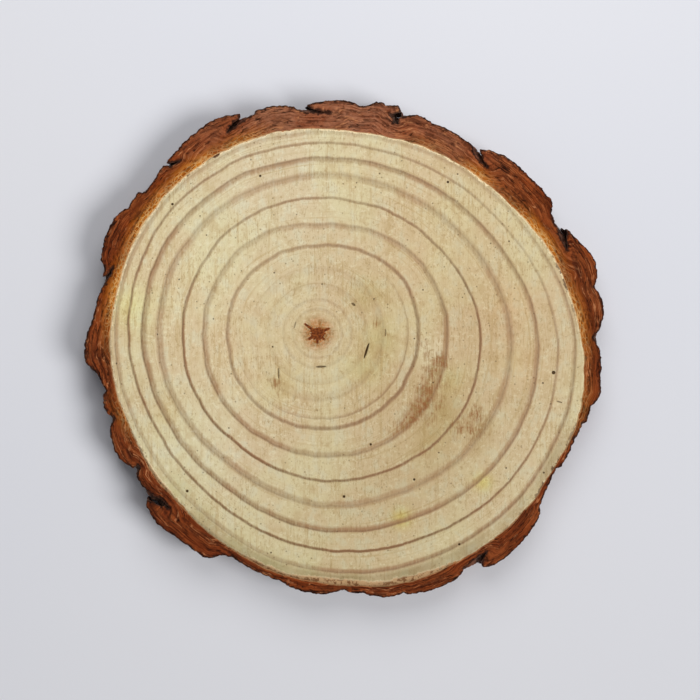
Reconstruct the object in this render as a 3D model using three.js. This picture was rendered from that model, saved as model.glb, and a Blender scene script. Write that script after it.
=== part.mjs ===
// A round slice sawn straight across a pine trunk: a pale wood disc, and the scaly bark that still
// grips its edge. Two pieces, because bark and wood part at the cambium, the thin growing layer.
// Millimetres, +Z up. The slice lies on its lower sawn face, and the origin is the middle of the
// bounding box of that face. Both outlines are measured from the pith, the trunk's growth centre.

import * as THREE from "three";

// Driving dimensions.
const THICKNESS = 12; // between the two sawn faces
const WOOD_STEP = 10; // degrees between the radii that give the wood's edge
const WOOD_SIDES = 120; // corners round the wood's edge
const CORNERS_PER_SPAN = 2; // corners along a plate's edge for each span between its points

// The bark grows a little differently at the lower face than at the upper one.
const FLARE = 0.3; // how much further out it stands there, as a trunk widens downwards
const SWAY = 0.5; // how far a plate can swell or thin on the way down
const LEAN = 0.9; // how far a fissure can lean sideways on the way down
const FIRM_DEPTH = 0.5; // bark this close to the wood keeps its place
const LOOSE_DEPTH = 3; // bark this far out moves by the whole amount

const WOOD_COLOUR = 0xd8c39b;
const BARK_COLOUR = 0x7c4427;

// Distance from the pith to the wood's edge, anticlockwise from +X.
const WOOD_RADII = [
  83.2, 80.4, 78.0, 74.5, 71.9, 69.8, 68.1, 66.1, 65.1,
  64.9, 65.0, 65.0, 65.0, 65.0, 65.0, 65.1, 64.9, 65.0,
  65.8, 66.2, 66.4, 66.8, 68.5, 69.4, 71.5, 74.0, 76.7,
  78.7, 81.2, 83.6, 84.6, 85.5, 86.2, 86.0, 86.8, 85.6,
];

// The bark's outer edge at the upper face, anticlockwise, one line for each plate of bark. A point
// is [degrees round the pith, distance from it]. A plate's edge is a smooth curve through its
// points, and a straight step joins it to the next plate. Where the degrees turn back, a plate's
// end stands clear of the bark behind it.
const PLATES = [
  // The right: two lobes, the second with a hooked tip.
  [[-0.9, 86.9], [0.6, 88.6], [2.8, 90.0], [5.4, 90.5], [7.6, 89.7], [9.5, 88.6]],
  [[9.7, 88.6], [11.6, 89.9], [14, 90.4], [16.4, 89.7], [21, 86.3], [22.7, 85.2], [18.4, 82.9]],
  [[20.4, 82.5], [24.0, 82.3], [27.2, 82.8]],
  // The upper right: a long plate with an undercut end, then a low one.
  [[28, 83.8], [28.9, 84.8], [38.5, 82.7], [43.4, 81.3], [48.7, 77.3], [46.9, 76], [44.4, 74.7]],
  [[46.4, 74.5], [49.4, 75.4], [50.0, 76.6], [53.5, 76.6], [59.0, 76.1], [61.5, 75.3]],
  [[62.0, 75.8], [65.5, 75.6], [67.6, 74.2], [69.4, 72.4], [68.9, 70.7]],
  // The top: a curled flake, and flat plates with long cracks behind them.
  [[70.2, 70.6], [70.5, 71.7], [71.9, 72.6], [69.5, 74.4], [70.5, 76.1], [73.4, 74.9]],
  [[74.0, 75.5], [75.8, 75.5], [77.0, 73.9], [79.4, 73.0]],
  [[80.2, 73.3], [83.0, 73.9], [87.0, 73.4], [92.6, 72.1], [91.5, 70.8], [86.2, 69.6]],
  [[88.6, 69.5], [93.4, 69.8], [96.2, 71.8], [99.5, 72.9], [102.5, 73.1], [105.5, 72.9]],
  [[105.8, 71.9], [110.3, 70.8], [114.6, 69.1], [112.8, 70.9], [109.6, 72.3]],
  // The upper left: a broad plate pointed at both ends, then small ones.
  [[109.4, 73.4], [112.4, 74.3], [117.6, 74.9], [129.0, 72.6], [131.6, 71.7], [128.4, 69.5]],
  [[131.0, 69.9], [132.6, 71.8], [134.3, 71.5], [139.6, 70.2], [141.2, 70.8]],
  [[141.7, 72.0], [144.2, 71.9], [146.6, 71.5]],
  [[147.1, 72.3], [150.5, 73.7], [155.5, 73.6], [161.2, 72.1]],
  // The left: rounded plates.
  [[161.9, 71.0], [163.6, 70.1], [165.2, 70.0], [164.6, 68.8], [161.8, 67.9]],
  [[164.2, 67.6], [167.5, 69.1], [170.6, 70.2], [174.0, 70.7], [177.8, 71.5]],
  [[178.8, 72.2], [182, 73.3], [185.8, 73.9], [187.6, 73.4], [188.6, 72], [191.2, 70.3], [195.2, 69]],
  [[195.8, 70.1], [197.8, 71.0], [200.8, 70.9], [202.2, 69.3]],
  [[203.4, 70.5], [205.0, 72.3], [208.6, 73.4], [212.0, 74.0], [215.9, 72.0], [216.2, 70.0]],
  // The lower left: a thick plate that stands off the bark behind it.
  [[217.2, 70.2], [217.6, 71.7], [219.2, 73.1], [223.6, 72.9], [227.0, 71.6], [229.8, 72.1]],
  [[227.4, 73.6], [224.4, 75.0], [225.0, 76.3], [230.0, 78.4], [236.0, 78.2], [242.8, 79.1]],
  [[243.4, 78.9], [245.0, 78.2], [246.2, 76.3], [249.4, 75.4]],
  // The bottom: long thin plates.
  [[251.0, 76.2], [257.0, 77.9], [261.5, 78.8]],
  [[262.5, 79.4], [264.8, 80.7], [268.0, 81.7], [271.4, 82.2], [275.8, 81.0]],
  [[276.3, 81.5], [277.2, 82.4], [279.6, 82.9], [281.4, 84.5], [286.4, 86.3], [288.4, 86.0]],
  [[289.0, 86.9], [293.5, 88.4], [299.6, 89.0], [301.2, 88.2], [301.8, 87.0]],
  // The lower right: a square block, then the thinnest stretch.
  [[304.0, 86.9], [305.8, 86.7], [307.9, 87.0]],
  [[305.8, 88.4], [305.3, 90.2], [308.0, 91.9], [314, 92], [317.4, 91.5], [321, 90.4], [322, 88.6]],
  [[323.2, 88.2], [326.0, 87.1], [330.6, 86.5]],
  [[331.4, 87.5], [334.2, 87.6], [341.2, 88.2]],
  [[341.8, 89.2], [345.2, 89.0]],
  [[345.8, 89.9], [347.6, 91.1], [351.0, 90.3], [356.0, 89.4], [358.2, 87.8]],
];

function fromPith([degrees, distance]) {
  const angle = THREE.MathUtils.degToRad(degrees);
  return new THREE.Vector3(distance * Math.cos(angle), distance * Math.sin(angle), 0);
}

function smoothCurve(polarPoints, closed) {
  return new THREE.CatmullRomCurve3(polarPoints.map(fromPith), closed, "centripetal");
}

// The wood's edge, which the bark's inside follows too.
function woodEdge() {
  const knots = WOOD_RADII.map((radius, i) => [i * WOOD_STEP, radius]);
  return smoothCurve(knots, true).getPoints(WOOD_SIDES).slice(0, -1);
}

function barkEdge() {
  const corners = (plate) => (plate.length - 1) * CORNERS_PER_SPAN;
  return PLATES.flatMap((plate) => smoothCurve(plate, false).getPoints(corners(plate)));
}

function woodRadius(degrees) {
  const place = THREE.MathUtils.euclideanModulo(degrees, 360) / WOOD_STEP;
  const i = Math.floor(place);
  const next = WOOD_RADII[(i + 1) % WOOD_RADII.length];
  return THREE.MathUtils.lerp(WOOD_RADII[i], next, place - i);
}

// Moves the bark's outside below the upper face, where it has the outline above. The move depends
// only on where a corner is, so facets that meet stay joined.
function growDownwards(geometry) {
  const corners = geometry.getAttribute("position");
  const corner = new THREE.Vector3();
  for (let i = 0; i < corners.count; i++) {
    corner.fromBufferAttribute(corners, i);
    const angle = Math.atan2(corner.y, corner.x);
    const radius = Math.hypot(corner.x, corner.y);
    const depth = radius - woodRadius(THREE.MathUtils.radToDeg(angle));
    const looseness = THREE.MathUtils.smoothstep(depth, FIRM_DEPTH, LOOSE_DEPTH);
    const share = (1 - corner.z / THICKNESS) * looseness;
    const sway = SWAY * Math.sin(11 * angle + 1.3) * Math.sin(5 * angle);
    const lean = LEAN * Math.sin(4 * angle + 0.6);
    const newRadius = radius + (FLARE + sway) * share;
    const newAngle = angle + (lean / radius) * share;
    corners.setXY(i, newRadius * Math.cos(newAngle), newRadius * Math.sin(newAngle));
  }
  return geometry;
}

function sawn(shape) {
  return new THREE.ExtrudeGeometry(shape, { depth: THICKNESS, bevelEnabled: false });
}

function woodDisc() {
  const material = new THREE.MeshStandardMaterial({
    color: WOOD_COLOUR,
    roughness: 0.75,
    metalness: 0,
  });
  const mesh = new THREE.Mesh(sawn(new THREE.Shape(woodEdge())), material);
  mesh.name = "wood_disc";
  return mesh;
}

// One closed ring: the plates are joined at their roots.
function bark() {
  const shape = new THREE.Shape(barkEdge());
  shape.holes.push(new THREE.Path(woodEdge()));
  const material = new THREE.MeshStandardMaterial({
    color: BARK_COLOUR,
    roughness: 0.9,
    metalness: 0,
  });
  const mesh = new THREE.Mesh(growDownwards(sawn(shape)), material);
  mesh.name = "bark";
  return mesh;
}

const slice = new THREE.Group();
slice.add(woodDisc(), bark());

// The outlines start at the pith, so the whole slice moves to put its middle at the origin.
const middle = new THREE.Box3().setFromObject(slice).getCenter(new THREE.Vector3());
slice.position.set(-middle.x, -middle.y, 0);

export default slice;
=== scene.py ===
"""A slice of a pine trunk on a pale floor, looked at from straight above.

Lengths are in millimetres until a mesh is made. Angles are in degrees, anticlockwise from +X, and
"distance" means from the pith, the trunk's growth centre, unless a name says otherwise.
"""

import math
import random

import bmesh
import bpy
import numpy as np
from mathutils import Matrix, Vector, noise
from mathutils.geometry import delaunay_2d_cdt


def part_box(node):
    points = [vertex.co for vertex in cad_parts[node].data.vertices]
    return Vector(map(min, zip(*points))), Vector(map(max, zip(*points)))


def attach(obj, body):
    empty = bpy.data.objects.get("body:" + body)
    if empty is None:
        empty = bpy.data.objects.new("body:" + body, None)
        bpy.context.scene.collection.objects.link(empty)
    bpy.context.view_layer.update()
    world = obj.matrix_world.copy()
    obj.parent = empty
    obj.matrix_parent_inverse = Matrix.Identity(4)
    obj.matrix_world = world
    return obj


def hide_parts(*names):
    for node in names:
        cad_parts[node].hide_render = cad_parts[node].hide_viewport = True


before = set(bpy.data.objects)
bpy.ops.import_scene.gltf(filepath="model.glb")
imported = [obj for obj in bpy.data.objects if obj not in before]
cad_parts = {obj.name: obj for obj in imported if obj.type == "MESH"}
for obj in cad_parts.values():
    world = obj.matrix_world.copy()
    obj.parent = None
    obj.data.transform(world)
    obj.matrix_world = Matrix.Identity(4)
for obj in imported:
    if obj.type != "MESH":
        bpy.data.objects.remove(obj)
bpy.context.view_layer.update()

MM = 0.001
SEED = 16
noise.seed_set(SEED)  # without this, noise_vector gives other values each run

# ---------------------------------------------------------------- what the frame gives

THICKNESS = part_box("wood_disc")[1].z / MM
PITH = np.array([-8.31, 4.90])  # as in the design, whose origin is the middle of the slice
FLAT = 0.01  # corners this close to a level are on it
ROUNDING = 0.004  # corners are rounded to this, so that faces share them


def smoothstep(value, start, end):
    t = np.clip((np.asarray(value, float) - start) / (end - start), 0, 1)
    return t * t * (3 - 2 * t)


def to_polar(points):
    """Degrees and distances of points in the plane."""
    x, y = (np.asarray(points, float)[:, :2] - PITH).T
    return np.degrees(np.arctan2(y, x)) % 360, np.hypot(x, y)


def from_polar(degrees, distances):
    angle = np.radians(degrees)
    return np.column_stack([np.cos(angle) * distances, np.sin(angle) * distances]) + PITH


def face_outlines(node, level):
    """The closed outlines of a CAD node's flat face at one level, most corners first."""
    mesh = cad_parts[node].data
    corners = [tuple(round(c / MM / ROUNDING) * ROUNDING for c in v.co) for v in mesh.vertices]
    edges = set()
    for polygon in mesh.polygons:
        face = [corners[i] for i in polygon.vertices]
        if all(abs(c[2] - level) < FLAT for c in face):
            edges.update(zip(face, face[1:] + face[:1]))
    onward = {a: b for a, b in edges if (b, a) not in edges}
    outlines = []
    while onward:
        start = min(onward)
        outline = [start]
        while (following := onward.pop(outline[-1])) != start:
            outline.append(following)
        outlines.append(np.array(outline)[:, :2])
    return sorted(outlines, key=len, reverse=True)


def evenly(outline, step):
    """A closed outline again, with its points about one step apart."""
    closed = np.vstack([outline, outline[:1]])
    along = np.concatenate([[0], np.cumsum(np.hypot(*np.diff(closed, axis=0).T))])
    at = np.linspace(0, along[-1], round(along[-1] / step), endpoint=False)
    return np.column_stack([np.interp(at, along, closed[:, k]) for k in (0, 1)])


BARK_OUTLINE = face_outlines("bark", THICKNESS)[0]
SPOKES = 480  # directions in which the wood has points, from the pith out
DIRECTIONS = np.arange(SPOKES) * 360 / SPOKES
AVERAGE_RADIUS = 75.0  # of the line between wood and bark
WAVER = 0.3  # how far the line between wood and bark strays from the design's smooth one
INSIDE = 0.45  # and how far inside it that line lies on average


def wavering_edge():
    """Distance to the wood's edge in each of the directions."""
    angles, distances = to_polar(face_outlines("wood_disc", THICKNESS)[0])
    order = np.argsort(angles)
    smooth = np.interp(DIRECTIONS, angles[order], distances[order], period=360)
    points = [Vector((*p, SEED)) for p in from_polar(DIRECTIONS, smooth)]
    strays = np.array([noise.noise(p / 4.2) + 0.5 * noise.noise(p / 1.9) for p in points])
    return smooth - INSIDE + WAVER * strays


EDGE = wavering_edge()


def wood_edge(degrees):
    """Distance to the wood's edge."""
    return np.interp(degrees, DIRECTIONS, EDGE, period=360)


# ---------------------------------------------------------------- small tools


def smooth_round(values):
    """A function of degrees: a smooth closed curve through values evenly spaced from 0 degrees."""
    knots = np.asarray(values, float)

    def at(degrees):
        place = np.mod(degrees, 360) / 360 * len(knots)
        i = np.floor(place).astype(int)
        t = place - i
        a, b, c, d = (knots[(i + k) % len(knots)] for k in (-1, 0, 1, 2))
        bend = 2 * a - 5 * b + 4 * c - d + t * (3 * (b - c) + d - a)
        return b + 0.5 * t * (c - a + t * bend)

    return at


def how_much(degrees, table):
    """The strongest of several soft stretches round the slice, at each angle."""
    middle, spread, strength = np.array(table, float).T
    turn = (degrees[:, None] - middle + 180) % 360 - 180
    return (strength * np.exp(-((turn / spread) ** 2))).max(axis=1)


def rough(points, size, octaves=3):
    """Fractal noise at each point, about -1 to 1, with lumps of the given size."""
    return np.array([noise.fractal(Vector(p) / size, 1.0, 2.0, octaves) for p in points])


def make_mesh(name, points, faces, facts):
    """A mesh object from points in millimetres. facts are its named values at each point."""
    mesh = bpy.data.meshes.new(name)
    mesh.from_pydata((np.asarray(points) * MM).tolist(), [], faces)
    for fact, values in facts.items():
        values = np.asarray(values, np.float32)
        kind, key = ("FLOAT", "value") if values.ndim == 1 else ("FLOAT_VECTOR", "vector")
        mesh.attributes.new(fact, kind, "POINT").data.foreach_set(key, values.ravel())
    piece = bpy.data.objects.new(name, mesh)
    bpy.context.scene.collection.objects.link(piece)
    mesh.shade_smooth()
    return piece


class Nodes:
    """Builds one material. Each call adds a node and returns the socket that comes out of it."""

    def __init__(self, name):
        self.material = bpy.data.materials.new(name)
        self.material.use_nodes = True
        self.tree = self.material.node_tree
        self.surface = self.tree.nodes["Principled BSDF"]

    def add(self, kind, inputs, output=0, **settings):
        node = self.tree.nodes.new("ShaderNode" + kind)
        for key, value in settings.items():
            setattr(node, key, value)
        for key, value in inputs.items():
            self.feed(node.inputs[key], value)
        return node.outputs[output]

    def feed(self, socket, value):
        if isinstance(value, bpy.types.NodeSocket):
            self.tree.links.new(value, socket)
        else:
            socket.default_value = value

    def fact(self, name, vector=False):
        return self.add("Attribute", {}, "Vector" if vector else "Fac", attribute_name=name)

    def math(self, operation, a, b=0.0):
        return self.add("Math", {0: a, 1: b}, operation=operation)

    def plus(self, a, b):
        return self.math("ADD", a, b)

    def times(self, a, b):
        return self.math("MULTIPLY", a, b)

    def less(self, a, b):
        return self.math("SUBTRACT", a, b)

    def inverse(self, a):
        return self.math("SUBTRACT", 1.0, a)

    def fade(self, value, start, end, low=0.0, high=1.0):
        """low up to start, high from end on, and smooth between. start may be above end."""
        inputs = {"Value": value, "From Min": start, "From Max": end, "To Min": low, "To Max": high}
        return self.add("MapRange", inputs, interpolation_type="SMOOTHSTEP")

    def place(self):
        """Where the surface is, in millimetres."""
        metres = self.add("TexCoord", {}, "Object")
        return self.add("VectorMath", {0: metres, "Scale": 1 / MM}, operation="SCALE")

    def stretch(self, vector, scale):
        return self.add("VectorMath", {0: vector, 1: scale}, operation="MULTIPLY")

    def length(self, vector):
        return self.add("VectorMath", {0: vector}, "Value", operation="LENGTH")

    def noise(self, vector, scale=1.0, detail=2.0, roughness=0.5, extra=None):
        """0 to 1. extra is a fourth direction in which the noise also changes."""
        inputs = {"Vector": vector, "Scale": scale, "Detail": detail, "Roughness": roughness}
        if extra is None:
            return self.add("TexNoise", inputs, noise_dimensions="3D")
        return self.add("TexNoise", inputs | {"W": extra}, noise_dimensions="4D")

    def mix(self, share, a, b, blend="MIX"):
        node = self.tree.nodes.new("ShaderNodeMix")
        node.data_type = "RGBA"
        node.blend_type = blend
        for socket, value in zip([node.inputs[0], node.inputs[6], node.inputs[7]], [share, a, b]):
            self.feed(socket, value)
        return node.outputs[2]

    def bump(self, height, depth, below=None):
        """depth is how far the surface moves, in millimetres, as height goes from 0 to 1."""
        inputs = {"Height": height, "Distance": depth * MM, "Strength": 1.0}
        if below is not None:
            inputs["Normal"] = below
        return self.add("Bump", inputs)

    def finish(self, **inputs):
        for key, value in inputs.items():
            self.feed(self.surface.inputs[key.replace("_", " ")], value)
        return self.material


def rgb(red, green, blue):
    """A shader colour from a screen colour, each part 0 to 255."""
    parts = [c / 255 for c in (red, green, blue)]
    return tuple(c / 12.92 if c <= 0.04045 else ((c + 0.055) / 1.055) ** 2.4 for c in parts) + (1,)


# ---------------------------------------------------------------- the wood

# Growth rings, from the pith out. "radii" and "dark", how dark the ring gets, are even steps round
# the slice from 0 degrees, or one number that holds all round. A ring starts to darken "inside" mm
# before its radius, and has ended "outside" mm after it. It is darkest in a thin line between.
RINGS = [
    dict(radii=[7.8], dark=[0.22], inside=0.8, outside=0.5),
    dict(radii=[10.8], dark=[0.20], inside=0.9, outside=0.5),
    dict(radii=[15.7], dark=[0.16], inside=1.9, outside=0.8),
    dict(radii=[20.8], dark=[0.26, 0.16, 0.12, 0.12, 0.16, 0.26], inside=2.6, outside=1.2),
    dict(radii=[28.6, 28.4, 26.6, 24.8, 24.9, 25.6, 25.4, 26.1, 26.6, 26.9, 28.0, 28.5],
         dark=[0.38, 0.0, 0.0, 0.06, 0.26, 0.50], inside=0.7, outside=0.5),
    dict(radii=[31.6, 31.8, 29.6, 27.6, 27.8, 28.5, 28.1, 28.8, 29.3, 29.8, 31.0, 31.5],
         dark=[0.90, 0.72, 0.60, 0.64, 0.70, 0.82], inside=0.85, outside=0.9),
    dict(radii=[41.0, 39.9, 36.8, 34.4, 35.8, 36.0, 35.9, 36.6, 37.2, 38.5, 40.5, 41.2],
         dark=[0.74, 0.58, 0.48, 0.70, 0.84, 0.62], inside=1.7, outside=0.85),
    dict(radii=[51.4, 47.5, 44.5, 42.7, 42.7, 42.4, 42.4, 42.7, 43.3, 46.0, 48.8, 51.6],
         dark=[0.98, 0.76, 0.74, 0.96, 1.20, 1.05], inside=0.55, outside=0.6),
    dict(radii=[60.8, 56.0, 51.9, 50.2, 49.7, 50.3, 50.1, 49.6, 49.8, 54.0, 56.9, 60.8],
         dark=[0.60, 0.50, 0.50, 0.62, 0.66, 0.52], inside=2.0, outside=1.3),
    dict(radii=[69.1, 62.9, 57.7, 55.3, 55.2, 55.5, 55.1, 54.8, 56.6, 61.8, 66.0, 70.1],
         dark=[0.78, 0.84, 0.74, 0.96, 1.05, 0.84], inside=1.5, outside=0.75),
    dict(radii=[75.3, 67.8, 62.3, 59.9, 60.0, 60.2, 59.5, 58.9, 61.8, 67.8, 72.9, 76.7],
         dark=[0.48, 0.56, 0.74, 0.95, 1.20, 1.20], inside=0.5, outside=0.6),
    dict(radii=[80.9, 72.6, 66.7, 63.6, 63.6, 63.6, 63.9, 64.3, 67.5, 74.6, 79.7, 82.3],
         dark=[0.66, 0.36, 0.40, 0.56, 0.50, 0.86], inside=1.4, outside=0.9),
]
RING_WOBBLE = 0.42  # how far a ring strays from its smooth line
CORE_LINE = 0.5  # half the width of the darkest line, in the middle of each ring
FINE_REACH = 21.0  # rows are closer together this near the pith, where the smallest marks are
FINE_ROWS = 0.3
TOP_ROWS = 0.95
UNDER_ROWS = 2.6
EDGE_MARGIN = 0.6  # least width of wood outside the last ring
UNEVEN = 0.12  # how far the sawn face dips here and there
STAR_DIP = 0.04  # how far below it the star of rays lies
SLIT_DIP = 0.5  # and how far the slits and specks do
SAME_PLACE = 0.002  # points this close together become one

WOOD_LIGHT = rgb(234, 222, 184)
WOOD_PALE = rgb(223, 210, 166)
WOOD_PINK = rgb(219, 198, 158)
WOOD_GREY = rgb(220, 213, 180)
WOOD_TAN = rgb(200, 175, 128)
WOOD_BROWN = rgb(174, 145, 98)
RING_TAN = rgb(152, 120, 82)
RING_PINK = rgb(164, 122, 86)
RING_BROWN = rgb(104, 78, 46)

# The star of dark rays round the pith: degrees, reach and width at the root.
STAR = [
    (143, 5.8, 1.0), (24, 4.8, 1.1), (213, 4.1, 1.2), (268, 3.9, 1.1), (186, 2.8, 0.8),
    (318, 3.6, 1.1), (292, 2.9, 0.8), (62, 2.6, 0.7), (98, 2.5, 0.7), (238, 3.0, 0.9),
]
CORE = 2.05  # how far out the pith itself reaches
HALO = 6.9  # how far out the brown stain round it reaches

# Where a strip of the growing layer stays on the wood: degrees, spread and width.
STRIP = [(258, 9, 1.0), (275, 12, 1.9), (290, 9, 1.8), (222, 10, 0.9)]

# Where a cream line shows plainly at the wood's edge: degrees, spread and strength.
CREAM = [
    (20, 14, 0.6), (52, 26, 1.0), (90, 26, 0.9), (125, 26, 1.0), (160, 26, 1.0), (190, 18, 0.8),
    (215, 14, 0.5),
]

# Where dark pits break its edge: degrees, spread and strength.
PITTED = [(118, 10, 1.0), (136, 9, 1.0), (12, 10, 0.8), (208, 8, 0.7), (330, 14, 0.8)]

# Slits and dashes: degrees, distance, half its length, half its width, the way it points, and how
# dark it is.
DASHES = [
    (340.5, 16.3, 2.5, 0.30, 72, 1.0), (275.5, 10.5, 1.6, 0.26, 2, 0.75),
    (225.4, 17.6, 1.7, 0.20, 92, 0.55), (159.4, 7.6, 1.1, 0.20, 75, 0.5),
    (0.8, 21.4, 1.1, 0.20, 88, 0.55), (39.3, 14.5, 0.7, 0.32, 325, 0.7),
    (344.2, 79.0, 1.0, 0.22, 344, 0.7),
]
# Resin pores and knots the size of a pinhead: degrees, distance and radius.
SPECKS = [
    (25.7, 66.9, 0.26), (27.5, 61.4, 0.22), (48.7, 66.8, 0.26), (49.3, 62.9, 0.38),
    (68.8, 54.0, 0.25), (75.5, 49.0, 0.22), (22.5, 35.9, 0.25), (31.5, 20.8, 0.24),
    (85.0, 15.6, 0.22), (110.0, 52.8, 0.36), (111.0, 58.6, 0.22), (138.3, 61.2, 0.38),
    (138.5, 46.7, 0.24), (135.0, 52.3, 0.22), (158.7, 46.8, 0.25), (172.0, 33.1, 0.24),
    (125.5, 23.5, 0.26), (180.3, 50.4, 0.24), (188.5, 64.0, 0.26), (196.5, 14.8, 0.26),
    (226.8, 40.8, 0.24), (230.4, 64.4, 0.42), (258.0, 70.5, 0.28), (279.2, 52.0, 0.42),
    (295.6, 38.7, 0.36), (303.5, 55.1, 0.36), (303.9, 80.0, 0.36), (315.5, 53.5, 0.25),
    (337.0, 39.5, 0.25), (343.2, 76.6, 0.26), (347.6, 72.6, 0.28), (350.6, 75.3, 0.55),
    (324.5, 72.9, 0.26), (328.4, 83.6, 0.30), (357.0, 30.5, 0.24), (64.0, 60.5, 0.20),
    (14.0, 47.0, 0.20), (205.0, 30.0, 0.20), (290.0, 25.0, 0.20), (100.0, 38.0, 0.20),
]
MARK_REACH = 1.7  # a mark's own places are given to the mesh's points this far round it
MARK_GAP = 1.5  # and only where no other mark is about as near
NO_MARK = [9.0, 9.0, 1.0]  # far along, far across and pale
DARK_SPECK = 0.36  # specks this wide or wider are as dark as can be

# Where the wood outside the last ring is darker: degrees, spread and strength.
LATE = [
    (244, 8, 0.5), (257, 12, 0.9), (274, 14, 1.0), (292, 14, 1.0), (304, 8, 0.95), (317, 8, 0.6),
    (331, 8, 0.85),
]
LATE_SHADE = (0.68, 0.65, 0.60)  # what it does to the colour

# Broad soft patches: degrees, distance, how far they spread, and what they do to the colour.
# Those at 105, 165 and 222 degrees, lighter and bluer, and those at 0 and 30 degrees, darker, are
# painted light falling off across the face; the others are the wood's own colour.
TINTS_AND_PAINTED_LIGHT = [
    (165, 48, 30, (1.08, 1.09, 1.09)), (105, 56, 26, (1.05, 1.08, 1.15)),
    (200, 25, 20, (1.02, 0.99, 0.99)), (255, 45, 26, (1.00, 0.98, 0.98)),
    (190, 9, 13, (0.965, 0.92, 0.90)), (55, 7, 7, (0.98, 0.955, 0.94)),
    (0, 58, 32, (0.94, 0.905, 0.875)), (30, 45, 30, (0.975, 0.93, 0.885)),
    (275, 66, 22, (0.94, 0.94, 0.90)), (305, 56, 26, (0.885, 0.845, 0.79)),
    (330, 34, 22, (0.96, 0.93, 0.90)), (172, 60, 7, (1.02, 1.04, 0.86)),
    (294.5, 64, 3.0, (1.04, 1.07, 0.62)), (318, 70, 2.8, (1.04, 1.07, 0.66)),
    (38, 20, 6, (0.90, 0.90, 0.76)), (352, 19, 6, (0.91, 0.91, 0.76)),
    (322, 19, 6, (0.93, 0.93, 0.78)), (352, 36, 5, (1.12, 1.18, 1.30)),
    (328, 47, 6, (0.86, 0.84, 0.70)), (316, 49, 6, (0.90, 0.88, 0.76)),
    (340, 44, 5, (0.92, 0.92, 0.76)), (235, 20, 6, (0.94, 0.92, 0.80)),
    (60, 58, 9, (1.01, 1.01, 1.02)), (222, 50, 16, (1.04, 1.07, 1.12)),
    (228, 67, 5, (0.88, 0.88, 0.78)), (238, 69.5, 5, (0.84, 0.84, 0.74)),
    (248, 72.5, 5, (0.84, 0.84, 0.74)), (258, 75.5, 5, (0.84, 0.84, 0.74)),
    (268, 77.5, 5, (0.86, 0.86, 0.76)), (278, 79.5, 5, (0.88, 0.88, 0.80)),
    (290, 82, 5, (0.90, 0.90, 0.82)), (329, 58, 6, (0.90, 0.86, 0.80)),
    (208, 54, 4, (0.96, 0.90, 0.80)), (80, 51, 5, (0.99, 0.94, 0.88)),
    (10, 20, 2.5, (0.92, 0.86, 0.75)), (8, 62, 8, (1.03, 0.97, 0.93)),
    (352, 64, 8, (1.02, 0.97, 0.93)),
]
# Rust-brown stains: degrees, distance, how far they spread, and how strong they are. Most lie in a
# curved row along one ring.
STAINS = [
    (354, 34.0, 2.4, 0.65), (348, 35.8, 2.8, 0.65), (347, 39.4, 3.2, 1.0), (342, 38.4, 3.2, 0.90),
    (337, 38.0, 3.2, 0.80), (332, 38.6, 3.5, 1.0), (327, 39.4, 3.4, 0.95), (322, 39.4, 3.4, 1.0),
    (317.5, 39.6, 3.1, 0.90), (312, 39.6, 2.9, 0.68), (306, 39.2, 2.5, 0.50), (339, 42.0, 3.2, 0.62),
    (330, 43.5, 3.6, 0.62), (323, 44.0, 3.4, 0.50), (333, 56.0, 3.6, 0.66), (329, 58.0, 4.6, 0.60),
    (326, 53.0, 4.4, 0.55), (312, 50.0, 3.6, 0.36), (230, 20.0, 2.4, 0.78), (236, 22.0, 2.0, 0.55),
    (0, 21.4, 2.2, 0.50), (10, 18.9, 1.8, 0.62), (330, 67.0, 3.4, 0.30),
]


def ring_radii(degrees):
    """Distances to the pith, to each ring and to the wood's edge, one row for each of them."""
    edge = wood_edge(degrees)
    radii = [np.zeros_like(degrees)]
    for k, ring in enumerate(RINGS):
        smooth = smooth_round(ring["radii"])(degrees)
        points = [Vector((*p, 7 * k)) for p in from_polar(degrees, AVERAGE_RADIUS)]
        wobble = np.array([noise.noise(p / 14) + 0.35 * noise.noise(p / 5) for p in points])
        wobble *= RING_WOBBLE * smoothstep(smooth, 5, 30)
        radii.append(np.minimum(smooth + wobble, edge - EDGE_MARGIN))
    return np.array(radii + [edge])


def ring_rows(radii, step, fine_step):
    """Ring places of a mesh's rows: 0 is the pith, 1 the first ring, and so on to the edge."""
    middle = radii.mean(axis=1)
    rows = [0.0]
    for k, (low, high) in enumerate(zip(middle, middle[1:])):
        count = math.ceil((high - low) / (fine_step if high < FINE_REACH else step))
        rows += [k + i / count for i in range(1, count + 1)]
    return np.array(rows)


def along_rings(values, rows):
    """Values given at the pith, each ring and the edge, at every row's place between them."""
    return np.interp(rows, np.arange(len(values)), values)


def nearest_marks(points):
    """How far points are along and across the nearest mark, as shares of its half sizes, and how
    pale the mark is, which is 1 where they are too far from it for that to count."""
    shapes = DASHES + [(d, r, size, size, 0, min(1, size / DARK_SPECK)) for d, r, size in SPECKS]
    degrees, distances, half_lengths, half_widths, ways, darkness = np.array(shapes).T
    centres = from_polar(degrees, distances)
    angle = np.radians(ways)
    offset = points[:, None, :2] - centres
    along = offset[..., 0] * np.cos(angle) + offset[..., 1] * np.sin(angle)
    across = offset[..., 1] * np.cos(angle) - offset[..., 0] * np.sin(angle)
    gap = np.hypot(np.maximum(np.abs(along) - half_lengths, 0), across)
    nearest = gap.argmin(axis=1)
    two = np.partition(gap, 1, axis=1)[:, :2]
    far = (two[:, 0] > MARK_REACH) | (two[:, 1] - two[:, 0] < MARK_GAP)
    row = np.arange(len(points))
    return np.column_stack([
        along[row, nearest] / half_lengths[nearest],
        across[row, nearest] / half_widths[nearest],
        np.where(far, 1, 1 - darkness[nearest]),
    ])


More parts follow.
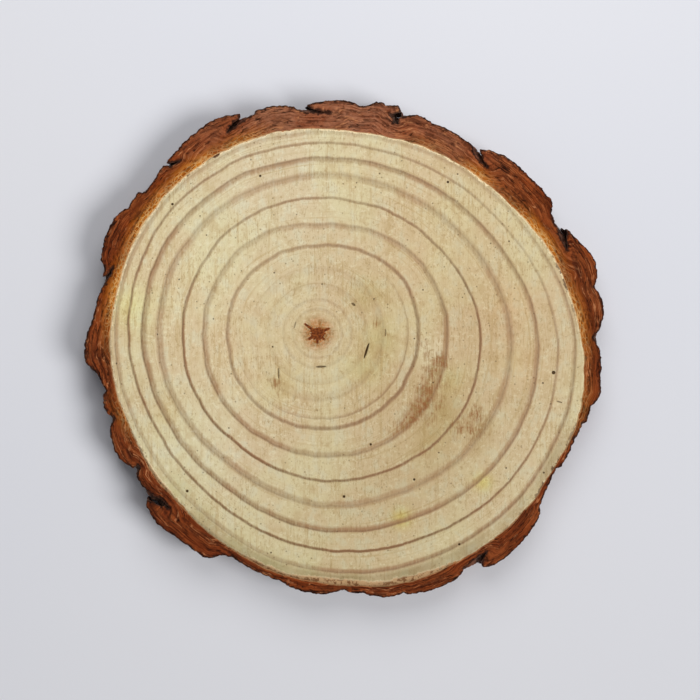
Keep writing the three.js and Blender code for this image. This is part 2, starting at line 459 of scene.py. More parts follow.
def pith_star(degrees, distances):
    """0 to 1: how much each point belongs to the dark star."""
    ragged = np.array([noise.noise(Vector((a / 14, 3.1, 0))) for a in degrees])
    oval = distances * (1 - 0.12 * np.cos(2 * np.radians(degrees)))
    star = 1 - smoothstep(oval + 0.7 * ragged, CORE - 0.4, CORE + 0.4)
    for way, reach, width in STAR:
        turn = np.radians(degrees - way)
        across = distances * np.abs(np.sin(turn))
        half = 0.5 * width * (1 - 0.45 * distances / reach)
        ray = (1 - smoothstep(across, 0.6 * half, 1.5 * half)) * (np.cos(turn) > 0)
        star = np.maximum(star, ray * (1 - smoothstep(distances, reach - 1.3, reach)))
    return star


def patches(points, table):
    """How strongly each soft patch in a table covers each point."""
    centres = from_polar(*np.array([row[:2] for row in table], float).T)
    spread = np.array([row[2] for row in table])
    gaps = np.hypot(*(points[:, None, :2] - centres).transpose(2, 0, 1))
    return np.exp(-((gaps / spread) ** 2))


def wood_face(rows, level, marked):
    """One sawn face: its points row by row, and the facts that its material needs."""
    radii = ring_radii(DIRECTIONS)
    distances = np.array([along_rings(column, rows) for column in radii.T]).T.ravel()
    degrees = np.tile(DIRECTIONS, len(rows))
    points = np.column_stack([from_polar(degrees, distances), np.full(len(degrees), level)])
    facts = ring_facts(rows, radii)
    facts["edge_gap"] = wood_edge(degrees) - distances
    facts["strip"] = how_much(degrees, STRIP)
    facts["cream"] = how_much(degrees, CREAM)
    facts["pitted"] = how_much(degrees, PITTED)
    facts["star"] = pith_star(degrees, distances)
    facts["halo"] = 1 - smoothstep(distances, 0.4 * HALO, HALO)
    # The wood's own patches, plus painted light: lighter at the top and left, darker at the right.
    tint_and_painted_light = np.ones((len(points), 3))
    for cover, row in zip(patches(points, TINTS_AND_PAINTED_LIGHT).T, TINTS_AND_PAINTED_LIGHT):
        tint_and_painted_light *= 1 + cover[:, None] * (np.array(row[3]) - 1)
    late = how_much(degrees, LATE) * smoothstep(facts["ring"] - len(RINGS), 0.0, 0.15)
    facts["tint_and_painted_light"] = tint_and_painted_light * (1 + late[:, None] * (np.array(LATE_SHADE) - 1))
    if marked:
        facts["mark"] = nearest_marks(points)
        facts["stain"] = (patches(points, STAINS) * [row[3] for row in STAINS]).max(axis=1)
    else:
        facts["mark"] = np.tile(NO_MARK, (len(points), 1))
        facts["stain"] = np.zeros(len(points))
    return points, facts


def ring_facts(rows, radii):
    """Where each point is among the rings, and what the ring nearest to it is like."""
    none = np.zeros_like(DIRECTIONS)
    dark = [none] + [smooth_round(ring["dark"])(DIRECTIONS) for ring in RINGS] + [none]
    facts = {"ring_dark": np.array([along_rings(way, rows) for way in np.transpose(dark)]).T.ravel()}
    for side in ("inside", "outside"):
        widths = along_rings([1] + [ring[side] for ring in RINGS] + [1], rows)
        facts["ring_" + side] = np.repeat(widths, SPOKES)
    facts["ring"] = np.repeat(rows, SPOKES)
    spacing = np.diff(radii, axis=0)
    between = np.clip(np.ceil(rows).astype(int) - 1, 0, len(spacing) - 1)
    facts["ring_space"] = spacing[between].ravel()
    return facts


def joined_rows(count, wide):
    """Faces between rows of points, each row closed on itself."""
    faces = []
    for low in range(0, (count - 1) * wide, wide):
        for j in range(wide):
            k = (j + 1) % wide
            faces.append((low + j, low + wide + j, low + wide + k, low + k))
    return faces


def wood_piece():
    radii = ring_radii(DIRECTIONS)
    top_rows = ring_rows(radii, TOP_ROWS, FINE_ROWS)
    under_rows = ring_rows(radii, UNDER_ROWS, 2 * FINE_ROWS)
    top, top_facts = wood_face(top_rows, THICKNESS, marked=True)
    under, under_facts = wood_face(under_rows[::-1], 0.0, marked=False)

    slit = smoothstep(np.hypot(*top_facts["mark"][:, :2].T), 1.3, 0.5) * (top_facts["mark"][:, 2] < 0.5)
    dip = STAR_DIP * top_facts["star"] + SLIT_DIP * slit
    dip += UNEVEN * (0.5 + 0.5 * rough(top, 17.0))
    top[:, 2] -= dip
    under[:, 2] += STAR_DIP * under_facts["star"]

    points = np.vstack([top, under])
    facts = {key: np.concatenate([top_facts[key], under_facts[key]]) for key in top_facts}
    faces = joined_rows(len(top_rows) + len(under_rows), SPOKES)
    piece = make_mesh("wood_slice_face", points, faces, facts)
    weld(piece)
    piece.data.materials.append(wood_material())
    return piece


def weld(piece):
    """Joins the points that share a place, such as the whole row at the pith."""
    mesh = bmesh.new()
    mesh.from_mesh(piece.data)
    bmesh.ops.remove_doubles(mesh, verts=mesh.verts, dist=SAME_PLACE * MM)
    mesh.to_mesh(piece.data)
    mesh.free()


def wood_material():
    m = Nodes("sawn_pine_end_grain")
    place = m.place()
    cloudy = m.noise(place, 0.05, 3.0)
    blotchy = m.noise(m.stretch(place, (1.0, 0.7, 1.0)), 0.24, 4.0, 0.6)
    mottled = m.noise(place, 0.8, 3.0, 0.65)
    # Saw lines run along Y, a millimetre or so apart, plainer in some places than in others.
    sawn = m.noise(m.stretch(place, (1.0, 0.05, 0.3)), 1.0, 4.0, 0.7)
    fine = m.noise(m.stretch(place, (1.9, 0.55, 1.0)), 1.0, 3.0, 0.7)
    plainer = m.fade(m.noise(place, 0.07, 2.0), 0.35, 0.65, 0.35, 1.0)

    ring = m.fact("ring")
    past = m.times(m.less(ring, m.math("ROUND", ring)), m.fact("ring_space"))
    past = m.plus(past, m.times(m.less(blotchy, 0.5), 0.6))
    past = m.plus(past, m.times(m.less(mottled, 0.5), 0.3))
    darkening = m.fade(m.math("DIVIDE", past, m.fact("ring_inside")), -1.2, -0.4)
    ending = m.fade(m.math("DIVIDE", past, m.fact("ring_outside")), 1.15, 0.15)
    broken = m.plus(m.times(sawn, 0.5), m.times(fine, 0.5))
    uneven = m.fade(m.plus(m.times(cloudy, 0.4), m.times(broken, 0.6)), 0.38, 0.6, 0.62, 1.15)
    band = m.times(m.times(darkening, ending), m.times(m.fact("ring_dark"), uneven))
    line = m.times(m.fade(m.math("ABSOLUTE", past), CORE_LINE, 0.1), band)
    # Faint lines between the rings, which follow them.
    threads = m.noise(m.stretch(place, (0.02, 0.02, 0.02)), 1.0, 3.0, 0.7, extra=m.times(ring, 11.0))

    base = m.mix(m.fade(cloudy, 0.36, 0.62), WOOD_PALE, WOOD_PINK)
    base = m.mix(m.fade(blotchy, 0.36, 0.5, 0.55, 0.0), base, WOOD_GREY)
    base = m.mix(m.fade(blotchy, 0.52, 0.68, 0.0, 0.5), base, WOOD_TAN)
    base = m.mix(m.times(m.fade(threads, 0.54, 0.66), m.fade(cloudy, 0.3, 0.6, 0.2, 0.7)), base, WOOD_TAN)
    base = m.mix(m.times(m.fade(sawn, 0.5, 0.66, 0.0, 0.75), plainer), base, WOOD_TAN)
    base = m.mix(m.times(m.fade(fine, 0.52, 0.66, 0.0, 0.6), plainer), base, WOOD_BROWN)
    base = m.mix(m.fade(mottled, 0.45, 0.32, 0.0, 0.6), base, WOOD_LIGHT)
    base = m.mix(m.fade(mottled, 0.58, 0.72, 0.0, 0.5), base, WOOD_BROWN)
    # The wood's own tints, together with the painted fall of light across the face.
    base = m.mix(1.0, base, m.fact("tint_and_painted_light", vector=True), "MULTIPLY")
    tan = m.mix(m.fade(cloudy, 0.45, 0.58), RING_TAN, RING_PINK)
    base = m.mix(m.times(band, 0.85), base, tan)
    base = m.mix(m.times(line, 0.32), base, RING_BROWN)
    base = m.mix(m.times(pinholes(m, place), 0.55), base, RING_BROWN)

    base = wood_rim(m, base, mottled, blotchy)
    base = wood_stains(m, base, place, fine, mottled)
    inside = wood_marks(m)
    base = m.mix(m.times(inside, 0.95), base, rgb(66, 40, 4))

    roughness = m.fade(m.plus(m.times(fine, 0.5), m.times(line, 0.5)), 0.1, 0.7, 0.85, 0.62)
    normal = m.bump(m.plus(m.times(sawn, 0.5), m.times(fine, 0.5)), 0.10)
    normal = m.bump(m.plus(line, m.times(mottled, 0.5)), 0.08, normal)
    normal = m.bump(m.inverse(inside), 0.3, normal)
    return m.finish(Base_Color=base, Roughness=roughness, Normal=normal, Specular_IOR_Level=0.2)


def pinholes(m, place):
    """Scattered dots, a few tenths of a millimetre across, that only some spots have."""
    inputs = {"Vector": place, "Scale": 0.5}
    away = m.add("TexVoronoi", inputs, "Distance")
    chance = m.add("SeparateColor", {0: m.add("TexVoronoi", inputs, "Color")}, "Red")
    return m.times(m.fade(away, 0.17, 0.08), m.fade(chance, 0.55, 0.85))


def wood_rim(m, base, mottled, blotchy):
    """A thin pale line where the wood stopped growing. Outside it, where "strip" is above 0, lies a
    pinkish strip of the growing layer with brown patches."""
    strip = m.fact("strip")
    wander = m.plus(m.times(m.less(mottled, 0.5), 2.0), m.times(m.less(blotchy, 0.5), 0.9))
    gap = m.less(m.plus(m.fact("edge_gap"), wander), strip)
    beyond = m.times(m.fade(gap, 0.15, -0.1), m.fade(strip, 0.2, 0.8))
    pink = m.mix(m.fade(mottled, 0.46, 0.58), rgb(196, 156, 112), rgb(124, 78, 42))
    base = m.mix(m.times(beyond, 0.9), base, pink)
    line = m.times(m.fade(gap, 0.42, 0.24), m.fade(gap, -0.32, -0.06))
    line = m.times(line, m.fade(blotchy, 0.35, 0.5, 0.5, 1.0))
    line = m.times(line, m.fade(m.fact("cream"), 0.0, 1.0, 0.25, 1.0))
    base = m.mix(line, base, rgb(252, 230, 186))
    torn = m.times(m.fade(gap, -0.06, -0.22), m.inverse(m.fade(strip, 0.2, 0.8)))
    base = m.mix(torn, base, rgb(186, 118, 58))
    pits = m.times(m.fade(gap, 0.85, 0.5), m.fade(blotchy, 0.54, 0.58))
    return m.mix(m.times(pits, m.fact("pitted")), base, rgb(84, 42, 18))


def wood_stains(m, base, place, fine, mottled):
    """Rust-brown stains, broken up by the saw lines, and the star round the pith."""
    covered = m.fact("stain")
    streaks = m.noise(m.stretch(place, (2.0, 0.26, 1.0)), 1.0, 3.0, 0.6)
    texture = m.plus(m.plus(m.times(streaks, 0.85), m.times(fine, 0.2)), m.times(mottled, 0.25))
    stain = m.fade(m.plus(covered, m.times(m.less(texture, 0.65), 2.4)), 0.1, 1.1)
    stain = m.times(stain, m.fade(covered, 0.05, 0.5))
    colour = m.mix(m.fade(mottled, 0.42, 0.56), rgb(152, 114, 62), rgb(146, 88, 40))
    base = m.mix(m.times(stain, 0.8), base, colour)
    crumbs = m.noise(place, 1.5, 3.0, 0.6)
    halo = m.times(m.fact("halo"), m.fade(crumbs, 0.36, 0.62, 0.5, 0.95))
    colour = m.mix(m.fade(mottled, 0.42, 0.58), rgb(188, 118, 58), rgb(150, 92, 28))
    base = m.mix(halo, base, colour)
    star = m.fade(m.plus(m.fact("star"), m.times(m.less(crumbs, 0.5), 0.9)), 0.15, 0.75)
    return m.mix(star, base, m.mix(m.fade(crumbs, 0.40, 0.62), rgb(94, 40, 8), rgb(140, 72, 26)))


def wood_marks(m):
    """How dark a slit or speck is, inside it, and 0 elsewhere."""
    mark = m.fact("mark", vector=True)
    paleness = m.add("SeparateXYZ", {0: mark}, "Z")
    inside = m.fade(m.length(m.stretch(mark, (1.0, 1.0, 0.0))), 1.15, 0.85)
    return m.times(inside, m.inverse(paleness))


# ---------------------------------------------------------------- the bark

OUTLINE_STEP = 0.36  # between points along the bark's outer edge
TOP_GRID = 0.44  # between points on the upper sawn face
UNDER_GRID = 1.1  # and on the lower one
WALL_ROWS = 26  # rows of faces from the upper edge to the lower one
RAGGED = 0.28  # how far the edge wanders to and fro
SKIM = 5  # degrees to either side over which the line that skims the scales is averaged
DEEPEST_NOTCH = 3.0
NOTCH_SHARE = 0.62  # how much of a notch's depth the older bark fills, lower down
OPEN = 9.0  # the room of a point that has nothing near it
CREASE = 50  # degrees between faces from which an edge looks sharp

# Where the youngest bark, next to the wood, shows golden: degrees, spread and strength.
GOLDEN = [
    (24, 9, 1.0), (45, 5, 0.7), (112, 7, 0.7), (128, 10, 1.0), (146, 12, 1.0), (168, 12, 1.0),
    (4, 8, 0.8), (203, 6, 0.4), (345, 6, 0.3), (60, 5, 0.3),
]
# Where the sawn bark is greyer and duller: degrees, spread and strength.
DULL = [(60, 14, 0.6), (80, 16, 1.0), (100, 12, 0.9), (118, 8, 0.35)]
# Where it is darker and redder: degrees, spread and strength.
DEEP = [
    (0, 16, 0.7), (14, 14, 0.6), (160, 10, 0.5), (185, 14, 1.0), (206, 14, 1.0), (226, 12, 1.0),
    (248, 14, 0.9), (280, 20, 0.9), (310, 20, 0.8), (345, 16, 0.7),
]


def gaps_to(points, outline):
    """Distance from each point to the nearest point of an outline."""
    found = [np.hypot(*(part[:, None] - outline).transpose(2, 0, 1)).min(axis=1)
             for part in np.array_split(points, max(1, len(points) // 500))]
    return np.concatenate(found)


def is_within(points, outline):
    """Whether points are inside a closed outline, by counting its crossings to one side."""
    inside = np.zeros(len(points), bool)
    for (x1, y1), (x2, y2) in zip(outline, np.roll(outline, -1, axis=0)):
        if y1 != y2:
            crossed = (points[:, 1] > min(y1, y2)) & (points[:, 1] <= max(y1, y2))
            at = x1 + (points[:, 1] - y1) * (x2 - x1) / (y2 - y1)
            inside ^= crossed & (points[:, 0] < at)
    return inside


def outward(outline):
    """The direction away from the bark at each point of its outer edge."""
    ahead = np.roll(outline, -2, axis=0) - np.roll(outline, 2, axis=0)
    normal = np.column_stack([ahead[:, 1], -ahead[:, 0]])
    return normal / np.maximum(np.hypot(*normal.T), 1e-9)[:, None]


def room(outline):
    """How far each point is from another stretch of the edge: a narrow crack or a thin tip."""
    count = len(outline)
    step = np.arange(count)
    apart = np.abs(step[:, None] - step)
    apart = np.minimum(apart, count - apart) * OUTLINE_STEP
    gap = np.hypot(*(outline[:, None] - outline).transpose(2, 0, 1))
    gap[apart < 2.5 * gap + 1.0] = OPEN
    return gap.min(axis=1)


def straightness(outline):
    """1 along smooth stretches of the edge, falling to 0 where it turns sharply."""
    ahead = np.roll(outline, -2, axis=0) - outline
    behind = outline - np.roll(outline, 2, axis=0)
    lengths = np.hypot(*ahead.T) * np.hypot(*behind.T)
    straight = smoothstep((ahead * behind).sum(axis=1) / lengths, 0.3, 0.9)
    return np.min([np.roll(straight, k) for k in range(-3, 4)], axis=0)


def ring_place(points, heights):
    """Places on a round path, where noise can follow the bark's layers round the trunk."""
    degrees, _ = to_polar(points)
    angle = np.radians(degrees)
    return np.column_stack([
        AVERAGE_RADIUS * np.cos(angle),
        AVERAGE_RADIUS * np.sin(angle),
        np.broadcast_to(heights, angle.shape),
    ])


def grid_between(outer, step, margin, seed):
    """Scattered points that fill the sawn bark between its two edges."""
    chance = random.Random(seed)
    low, high = outer.min(axis=0), outer.max(axis=0)
    columns = np.arange(low[0], high[0], step)
    lines = np.arange(low[1], high[1], step)
    spots = np.array([(x + chance.uniform(-0.3, 0.3) * step, y + chance.uniform(-0.3, 0.3) * step)
                      for x in columns for y in lines])
    degrees, distances = to_polar(spots)
    spots = spots[distances > wood_edge(degrees) + margin]
    spots = spots[is_within(spots, outer)]
    return spots[gaps_to(spots, outer) > margin]


def fill(outer, inner, spots):
    """Triangles over the sawn bark, and none in the hole that the wood fills. They count the
    points of the outer edge first, then those of the inner edge, then the spots."""
    points = np.vstack([outer, inner, spots])
    n, m = len(outer), len(inner)
    edges = [(i, (i + 1) % n) for i in range(n)] + [(n + i, n + (i + 1) % m) for i in range(m)]
    result = delaunay_2d_cdt([Vector(p) for p in points], edges, [], 2, 1e-6)
    places, _, faces, sources = result[:4]
    if len(places) != len(points):
        raise ValueError(f"the bark's edges cross: {len(places)} points from {len(points)}")
    original = [source[0] for source in sources]
    triangles = [tuple(original[i] for i in face) for face in faces]
    return [face for face in triangles if not all(n <= i < n + m for i in face)]


def layered(points, heights, size_round, size_across):
    """Noise that runs along the bark's layers: long round the trunk and short across them."""
    degrees, distances = to_polar(points)
    place = ring_place(points, heights)
    place[:, 2] = 0.6 * place[:, 2]
    depth = distances - wood_edge(degrees)
    along = place / size_round
    shift = np.column_stack([0 * depth, 0 * depth, depth / size_across])
    return np.array([noise.fractal(Vector(p), 0.9, 2.1, 3) for p in along + shift])


def scales(points):
    """Bark scales on the outside: how deep each point lies, and how near a joint it is."""
    depth, joint = [], []
    for p in points:
        q = Vector((p[0] / 5.8, p[1] / 5.8, p[2] / 17))
        q += 0.55 * noise.noise_vector(Vector(p) / 6) + 0.12 * noise.noise_vector(Vector(p) / 1.6)
        (near, far, *_), centres = noise.voronoi(q)
        level = 0.5 + 0.5 * noise.noise(centres[0] * 7.3)
        q = Vector((p[0] / 2.2, p[1] / 2.2, p[2] / 6.5)) + 0.5 * noise.noise_vector(Vector(p) / 2.4)
        (near_small, far_small, *_), small = noise.voronoi(q)
        level_small = 0.5 + 0.5 * noise.noise(small[0] * 5.1)
        crack = max(1 - (far - near) / 0.16, 0)
        crack_small = max(1 - (far_small - near_small) / 0.22, 0)
        depth.append(1.1 * level + 0.45 * level_small + 0.7 * crack + 0.2 * crack_small)
        joint.append(max(crack, 0.6 * crack_small))
    return np.array(depth), np.array(joint)


def bark_piece():
    outer = evenly(BARK_OUTLINE, OUTLINE_STEP)
    space = room(outer)
    away = outward(outer)
    wander = rough(ring_place(outer, 0) + [0, 0, SEED], 1.7, 3) + 0.6 * rough(outer_3d(outer), 0.8, 2)
    freedom = np.minimum(1, space / 2.5) * straightness(outer)
    outer = outer + away * (RAGGED * wander * freedom)[:, None]
    inner = from_polar(DIRECTIONS, EDGE)
    n, m = len(outer), len(inner)

    spots = grid_between(outer, TOP_GRID, 0.3, SEED)
    cap = np.vstack([outer, inner, spots])
    top_faces = fill(outer, inner, spots)
    heights, top_facts = sawn_bark(cap, outer, THICKNESS, down=1)
    top = np.column_stack([cap, heights])

    wall, wall_facts = bark_wall(outer, heights[:n], space, freedom)
    lowest = wall[-n:, :2]
    under_spots = grid_between(lowest, UNDER_GRID, 0.5, SEED + 1)
    under_cap = np.vstack([lowest, inner, under_spots])
    under_faces = fill(lowest, inner, under_spots)
    under_heights, under_facts = sawn_bark(under_cap, lowest, 0.0, down=-1)
    under_heights[:n] = wall[-n:, 2]
    under = np.column_stack([under_cap, under_heights])

    # One list of points: the upper face, the wall's rows below its edge, then the lower face.
    below = len(top)
    points = np.vstack([top, wall[n:-n], under])
    facts = {key: np.concatenate([top_facts[key], wall_facts[key][n:-n], under_facts[key]])
             for key in top_facts}
    floor = below + (WALL_ROWS - 1) * n
    rows = [np.arange(n)] + [below + k * n + np.arange(n) for k in range(WALL_ROWS - 1)]
    rows.append(floor + np.arange(n))
    faces = list(top_faces)
    for above, beneath in zip(rows, rows[1:]):
        faces += list(zip(above, beneath, np.roll(beneath, -1), np.roll(above, -1)))
    faces += [tuple(floor + i for i in face[::-1]) for face in under_faces]
    faces += [(n + i, n + (i + 1) % m, floor + n + (i + 1) % m, floor + n + i) for i in range(m)]
    faces = [tuple(int(i) for i in face) for face in faces]

    piece = make_mesh("bark_ring", points, faces, facts)
    piece.data.set_sharp_from_angle(angle=math.radians(CREASE))
    piece.data.materials.append(bark_material())
    return piece


def outer_3d(points):
    return np.column_stack([points, np.zeros(len(points))])


def sawn_bark(cap, outer, level, down):
    """Heights and facts of a sawn face of the bark. Its loose layers have torn out here and there."""
    degrees, distances = to_polar(cap)
    layer = distances - wood_edge(degrees)
    rim = gaps_to(cap, outer)
    streak = layered(cap, level, 5.0, 0.55)
    torn = smoothstep(streak, 0.05, 0.5) * smoothstep(layer, 0.4, 1.6)
    chipped = smoothstep(rim, 0.9, 0.0) * (0.35 + 0.5 * rough(outer_3d(cap), 2.2, 3))
    dip = 0.35 * torn + np.clip(chipped, 0, 1) * 0.8 + 0.05
    facts = {
        "ring_place": ring_place(cap, level),
        "layer": layer,
        "rim": rim,
        # recess: the torn-out layers, which the material paints darker as shade
        "recess": torn,
        "crust": np.where(rim < 0.05, 0.55, 0.0),
        "golden": how_much(degrees, GOLDEN),
        "dull": how_much(degrees, DULL),
        "deep": how_much(degrees, DEEP),
    }
    return level - down * dip * smoothstep(layer, 0.0, 0.5), facts


def notch_depth(degrees, distances):
    """How far each point lies inside the line that skims the bark's scales."""
    reach = np.zeros(360)
    np.maximum.at(reach, np.round(degrees).astype(int) % 360, distances)
    skim = np.mean([np.roll(reach, k) for k in range(-SKIM, SKIM + 1)], axis=0)
    skim = np.interp(degrees, np.arange(360), skim, period=360)
    return np.clip(skim - distances - 0.4, 0, DEEPEST_NOTCH)


def bark_wall(outer, top_heights, space, freedom):
    """The outside of the bark, row by row from the upper edge to the lower one. Older bark stands
    lower down in the notches between the scales."""
    degrees, distances = to_polar(outer)
    notch = notch_depth(degrees, distances)
    edge = wood_edge(degrees)
    thickness = distances - edge
    loose = smoothstep(thickness, 0.6, 3.0)
    away = outward(outer)
    angle = np.radians(degrees)
    rows, joints, recesses = [], [], []
    for k in range(WALL_ROWS + 1):
        share = k / WALL_ROWS
        height = top_heights * (1 - share)
        lean = 1.3 * np.sin(4 * angle + 0.6) * share + 0.5 * np.sin(17 * angle + 9 * share) * share
        swell = (0.2 + 0.6 * np.sin(11 * angle + 1.3) * np.sin(5 * angle)) * share
        turned = degrees + np.degrees(lean / distances) * loose
        shut = NOTCH_SHARE * smoothstep(share, 0.06, 0.3)
        spread = edge + thickness + swell * loose + shut * notch
        row = from_polar(turned, spread)
        solid = np.column_stack([row, height])
        depth, joint = scales(solid)
        fine = rough(solid, 1.3, 3)
        firmness = 0.15 + 0.85 * smoothstep(share, 0.0, 0.22)
        inward = (depth - 0.75 + 0.25 * fine) * firmness
        clear = space * (1 - shut)
        inward = np.minimum(inward, np.minimum(0.35 * clear, 0.6 * thickness))
        inward = freedom * np.maximum(inward, -np.minimum(0.9, 0.3 * clear))
        row = row - away * inward[:, None]
        rows.append(np.column_stack([row, height]))
        joints.append(joint)
        recesses.append(smoothstep(inward + 0.5 * shut * notch, 0.1, 1.1))
    points = np.vstack(rows)
    count = WALL_ROWS + 1
    facts = {
        "ring_place": ring_place(points, points[:, 2]),
        "layer": np.tile(thickness, count),
        "rim": np.zeros(len(points)),
        # recess: joints between scales, and hollows that the material paints darker as shade
        "recess": np.maximum(np.concatenate(joints), 0.6 * np.concatenate(recesses)),
        "crust": np.ones(len(points)),
        "golden": np.zeros(len(points)),
        "dull": np.tile(how_much(degrees, DULL), count),
        "deep": np.tile(how_much(degrees, DEEP), count),
    }
    return points, facts


def bark_material():
    m = Nodes("pine_bark")
    place = m.place()
    cloudy = m.noise(place, 0.12, 3.0)
    coarse = m.noise(place, 0.7, 4.0, 0.6)
    grit = m.noise(place, 2.2, 4.0, 0.7)
    sawn, relief = sawn_bark_colour(m, place, cloudy, coarse)
    crust = crust_colour(m, cloudy, coarse, grit)

    base = m.mix(m.fade(m.fact("crust"), 0.35, 0.75), sawn, crust)
    roughness = m.fade(m.plus(m.times(grit, 0.5), m.times(relief, 0.5)), 0.3, 0.7, 0.95, 0.72)
    normal = m.bump(relief, 0.6)
    normal = m.bump(grit, 0.22, normal)
    return m.finish(Base_Color=base, Roughness=roughness, Normal=normal, Specular_IOR_Level=0.12)


def sawn_bark_colour(m, place, cloudy, coarse):
    """Colour of the cut through the bark's layers, and how high its threads stand."""
    round_place = m.fact("ring_place", vector=True)
    layer = m.fact("layer")
    rim = m.fact("rim")
    # Layers run halfway between the lines of the two edges. Noise is long that way, and short
    # from layer to layer.
    across = m.plus(m.times(m.less(layer, rim), 0.5), m.times(m.less(coarse, 0.5), 0.7))
    bands = m.noise(m.stretch(round_place, (0.05, 0.05, 0.1)), 1.0, 3.0, 0.6, extra=m.times(across, 0.9))
    cleft = m.noise(m.stretch(round_place, (0.07, 0.07, 0.1)), 1.0, 2.0, 0.5, extra=m.times(across, 0.7))
    thread = m.noise(m.stretch(round_place, (0.14, 0.14, 0.2)), 1.0, 4.0, 0.65, extra=m.times(across, 3.4))
    broken = m.fade(m.noise(place, 0.3, 2.0), 0.4, 0.6)

    sawn = m.mix(m.fade(bands, 0.38, 0.60), rgb(104, 44, 12), rgb(146, 74, 34))
    sawn = m.mix(m.fade(cloudy, 0.4, 0.65, 0.0, 0.5), sawn, rgb(160, 68, 20))
    sawn = m.mix(m.fade(thread, 0.53, 0.66, 0.0, 0.75), sawn, rgb(182, 100, 50))
    sawn = m.mix(m.fade(thread, 0.46, 0.34, 0.0, 0.8), sawn, rgb(66, 20, 4))
    greyer = m.times(m.fact("dull"), m.fade(coarse, 0.3, 0.6, 0.55, 0.9))
    grey = m.mix(m.fade(thread, 0.36, 0.60), rgb(126, 74, 50), rgb(182, 122, 90))
    sawn = m.mix(greyer, sawn, grey)
    deep = m.times(m.fact("deep"), m.fade(bands, 0.62, 0.42, 0.35, 0.9))
    sawn = m.mix(deep, sawn, m.mix(m.fade(thread, 0.38, 0.62), rgb(48, 14, 3), rgb(132, 58, 24)))

    # Thin pale edges and black clefts between layers, which stop here and there. The pale edge
    # beside each cleft is a painted highlight, and the pair paints the flakes' edges as if lit: the
    # cleft is partly a dark joint and partly painted shade.
    away = m.math("ABSOLUTE", m.less(cleft, 0.5))
    split = m.times(m.fade(away, 0.018, 0.004), broken)
    # painted highlight beside each cleft
    painted_highlight = m.times(m.fade(m.math("ABSOLUTE", m.less(cleft, 0.455)), 0.02, 0.005), m.inverse(broken))
    sawn = m.mix(m.times(painted_highlight, 0.7), sawn, rgb(206, 136, 88))
    sawn = m.mix(m.times(split, 0.9), sawn, rgb(30, 12, 6))

    sawn = young_bark(m, sawn, round_place, layer, thread)
    # Painted shade: torn-out layers and hollows darkened.
    sawn = m.mix(m.times(m.fact("recess"), 0.6), sawn, rgb(56, 22, 10))
    # Darker along the outer edge: partly the bark's dark outer skin, partly painted shade of the wall seen
    # past the edge.
    edge = m.fade(m.plus(rim, m.times(m.less(coarse, 0.5), 2.6)), 0.8, 0.1)
    sawn = m.mix(m.times(edge, 0.9), sawn, rgb(36, 20, 14))
    relief = m.less(m.plus(m.times(thread, 0.7), m.times(bands, 0.3)), m.times(split, 0.4))
    return sawn, relief


def young_bark(m, sawn, round_place, layer, thread):
    """Golden bark next to the wood: pale walls round brown cells."""
    golden = m.fact("golden")
    cells = m.add("TexVoronoi", {
        "Vector": m.stretch(round_place, (0.55, 0.55, 0.5)),
        "W": m.times(layer, 1.1),
        "Scale": 1.0,
    }, "Distance", voronoi_dimensions="4D", feature="DISTANCE_TO_EDGE")
    colour = m.mix(m.fade(thread, 0.40, 0.60), rgb(150, 70, 4), rgb(222, 138, 46))
    pale = m.times(m.fade(cells, 0.12, 0.03), m.fade(layer, 3.0, 1.0, 0.0, 0.6))
    colour = m.mix(pale, colour, rgb(246, 200, 130))
    young = m.fade(m.plus(layer, m.times(m.less(thread, 0.5), 11.0)), 4.8, 1.4)
    sawn = m.mix(m.times(young, golden), sawn, colour)
    line = m.fade(m.plus(layer, m.times(m.less(thread, 0.5), 1.2)), 0.34, 0.12)
    return m.mix(m.times(line, m.fade(golden, 0.0, 0.8, 0.35, 0.85)), sawn, rgb(242, 194, 134))


def crust_colour(m, cloudy, coarse, grit):
    """Colour of the bark's outside."""
    crust = m.mix(m.fade(coarse, 0.38, 0.62), rgb(84, 60, 50), rgb(128, 98, 82))
    crust = m.mix(m.fade(cloudy, 0.45, 0.62, 0.0, 0.7), crust, rgb(132, 74, 48))
    crust = m.mix(m.fade(grit, 0.55, 0.75, 0.0, 0.5), crust, rgb(160, 128, 110))
    # Darker in the joints between scales, which is their own colour, and in the hollows, which is painted
    # shade.
    return m.mix(m.times(m.fade(m.fact("recess"), 0.2, 0.9), 0.85), crust, rgb(38, 25, 21))


# ---------------------------------------------------------------- the studio

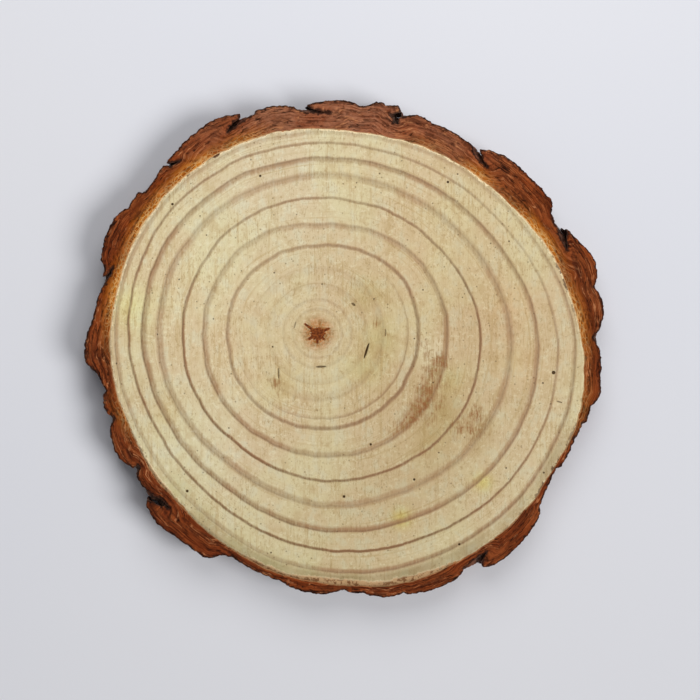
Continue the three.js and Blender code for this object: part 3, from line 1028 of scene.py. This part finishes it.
VIEW_WIDTH = 220.3  # of the picture, measured on the upper sawn face
VIEW_CENTRE = (1.9, -0.3)
LENS = 85.0
SENSOR = 36.0
FLOOR_SIZE = 12.0  # metres
KEY_PLACE = (2.7, -1.0, 2.85)  # metres: the shadow falls to the left and a little up
KEY_SIZE = 2.2  # metres across, which makes the shadow soft
KEY_POWER = 110.0  # watts
WINDOW_PLACE = (0.03, 0.36, 0.42)  # beyond the slice, where the floor is lightest
WINDOW_TARGET = (0, 0.1, 0)
WINDOW_SIZE = 0.5
WINDOW_POWER = 1.35
FILL = 0.20  # strength of the light that comes from all round
FILL_COLOUR = (0.93, 0.95, 1.0, 1)


def aim(thing, target):
    thing.rotation_euler = (Vector(target) - thing.location).to_track_quat("-Z", "Y").to_euler()


def camera():
    data = bpy.data.cameras.new("camera")
    data.lens = LENS
    data.sensor_width = SENSOR
    data.clip_start = 0.01
    made = bpy.data.objects.new("camera", data)
    height = VIEW_WIDTH * LENS / SENSOR + THICKNESS
    made.location = (VIEW_CENTRE[0] * MM, VIEW_CENTRE[1] * MM, height * MM)
    bpy.context.scene.collection.objects.link(made)
    bpy.context.scene.camera = made


def floor():
    mesh = bpy.data.meshes.new("floor")
    half = FLOOR_SIZE / 2
    corners = [(-half, -half, 0), (half, -half, 0), (half, half, 0), (-half, half, 0)]
    mesh.from_pydata(corners, [], [(0, 1, 2, 3)])
    made = bpy.data.objects.new("floor", mesh)
    bpy.context.scene.collection.objects.link(made)
    m = Nodes("pale_card")
    shade = m.mix(m.fade(m.noise(m.place(), 0.004, 1.0), 0.3, 0.7), rgb(226, 227, 233), rgb(229, 229, 233))
    mesh.materials.append(m.finish(Base_Color=shade, Roughness=0.9, Specular_IOR_Level=0.05))


def soft_light(name, place, target, size, power):
    data = bpy.data.lights.new(name, "AREA")
    data.shape = "DISK"
    data.size = size
    data.energy = power
    made = bpy.data.objects.new(name, data)
    made.location = place
    aim(made, target)
    bpy.context.scene.collection.objects.link(made)


def studio():
    scene = bpy.context.scene
    scene.view_settings.view_transform = "Standard"
    scene.view_settings.look = "None"
    world = bpy.data.worlds.new("studio")
    world.use_nodes = True
    sky = world.node_tree.nodes["Background"].inputs
    sky["Color"].default_value = FILL_COLOUR
    sky["Strength"].default_value = FILL
    scene.world = world
    soft_light("key", KEY_PLACE, (0, 0, 0), KEY_SIZE, KEY_POWER)
    soft_light("window", WINDOW_PLACE, WINDOW_TARGET, WINDOW_SIZE, WINDOW_POWER)


camera()
floor()
studio()

wood = wood_piece()
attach(wood, "root")
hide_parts("wood_disc")

bark = bark_piece()
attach(bark, "root")
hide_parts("bark")
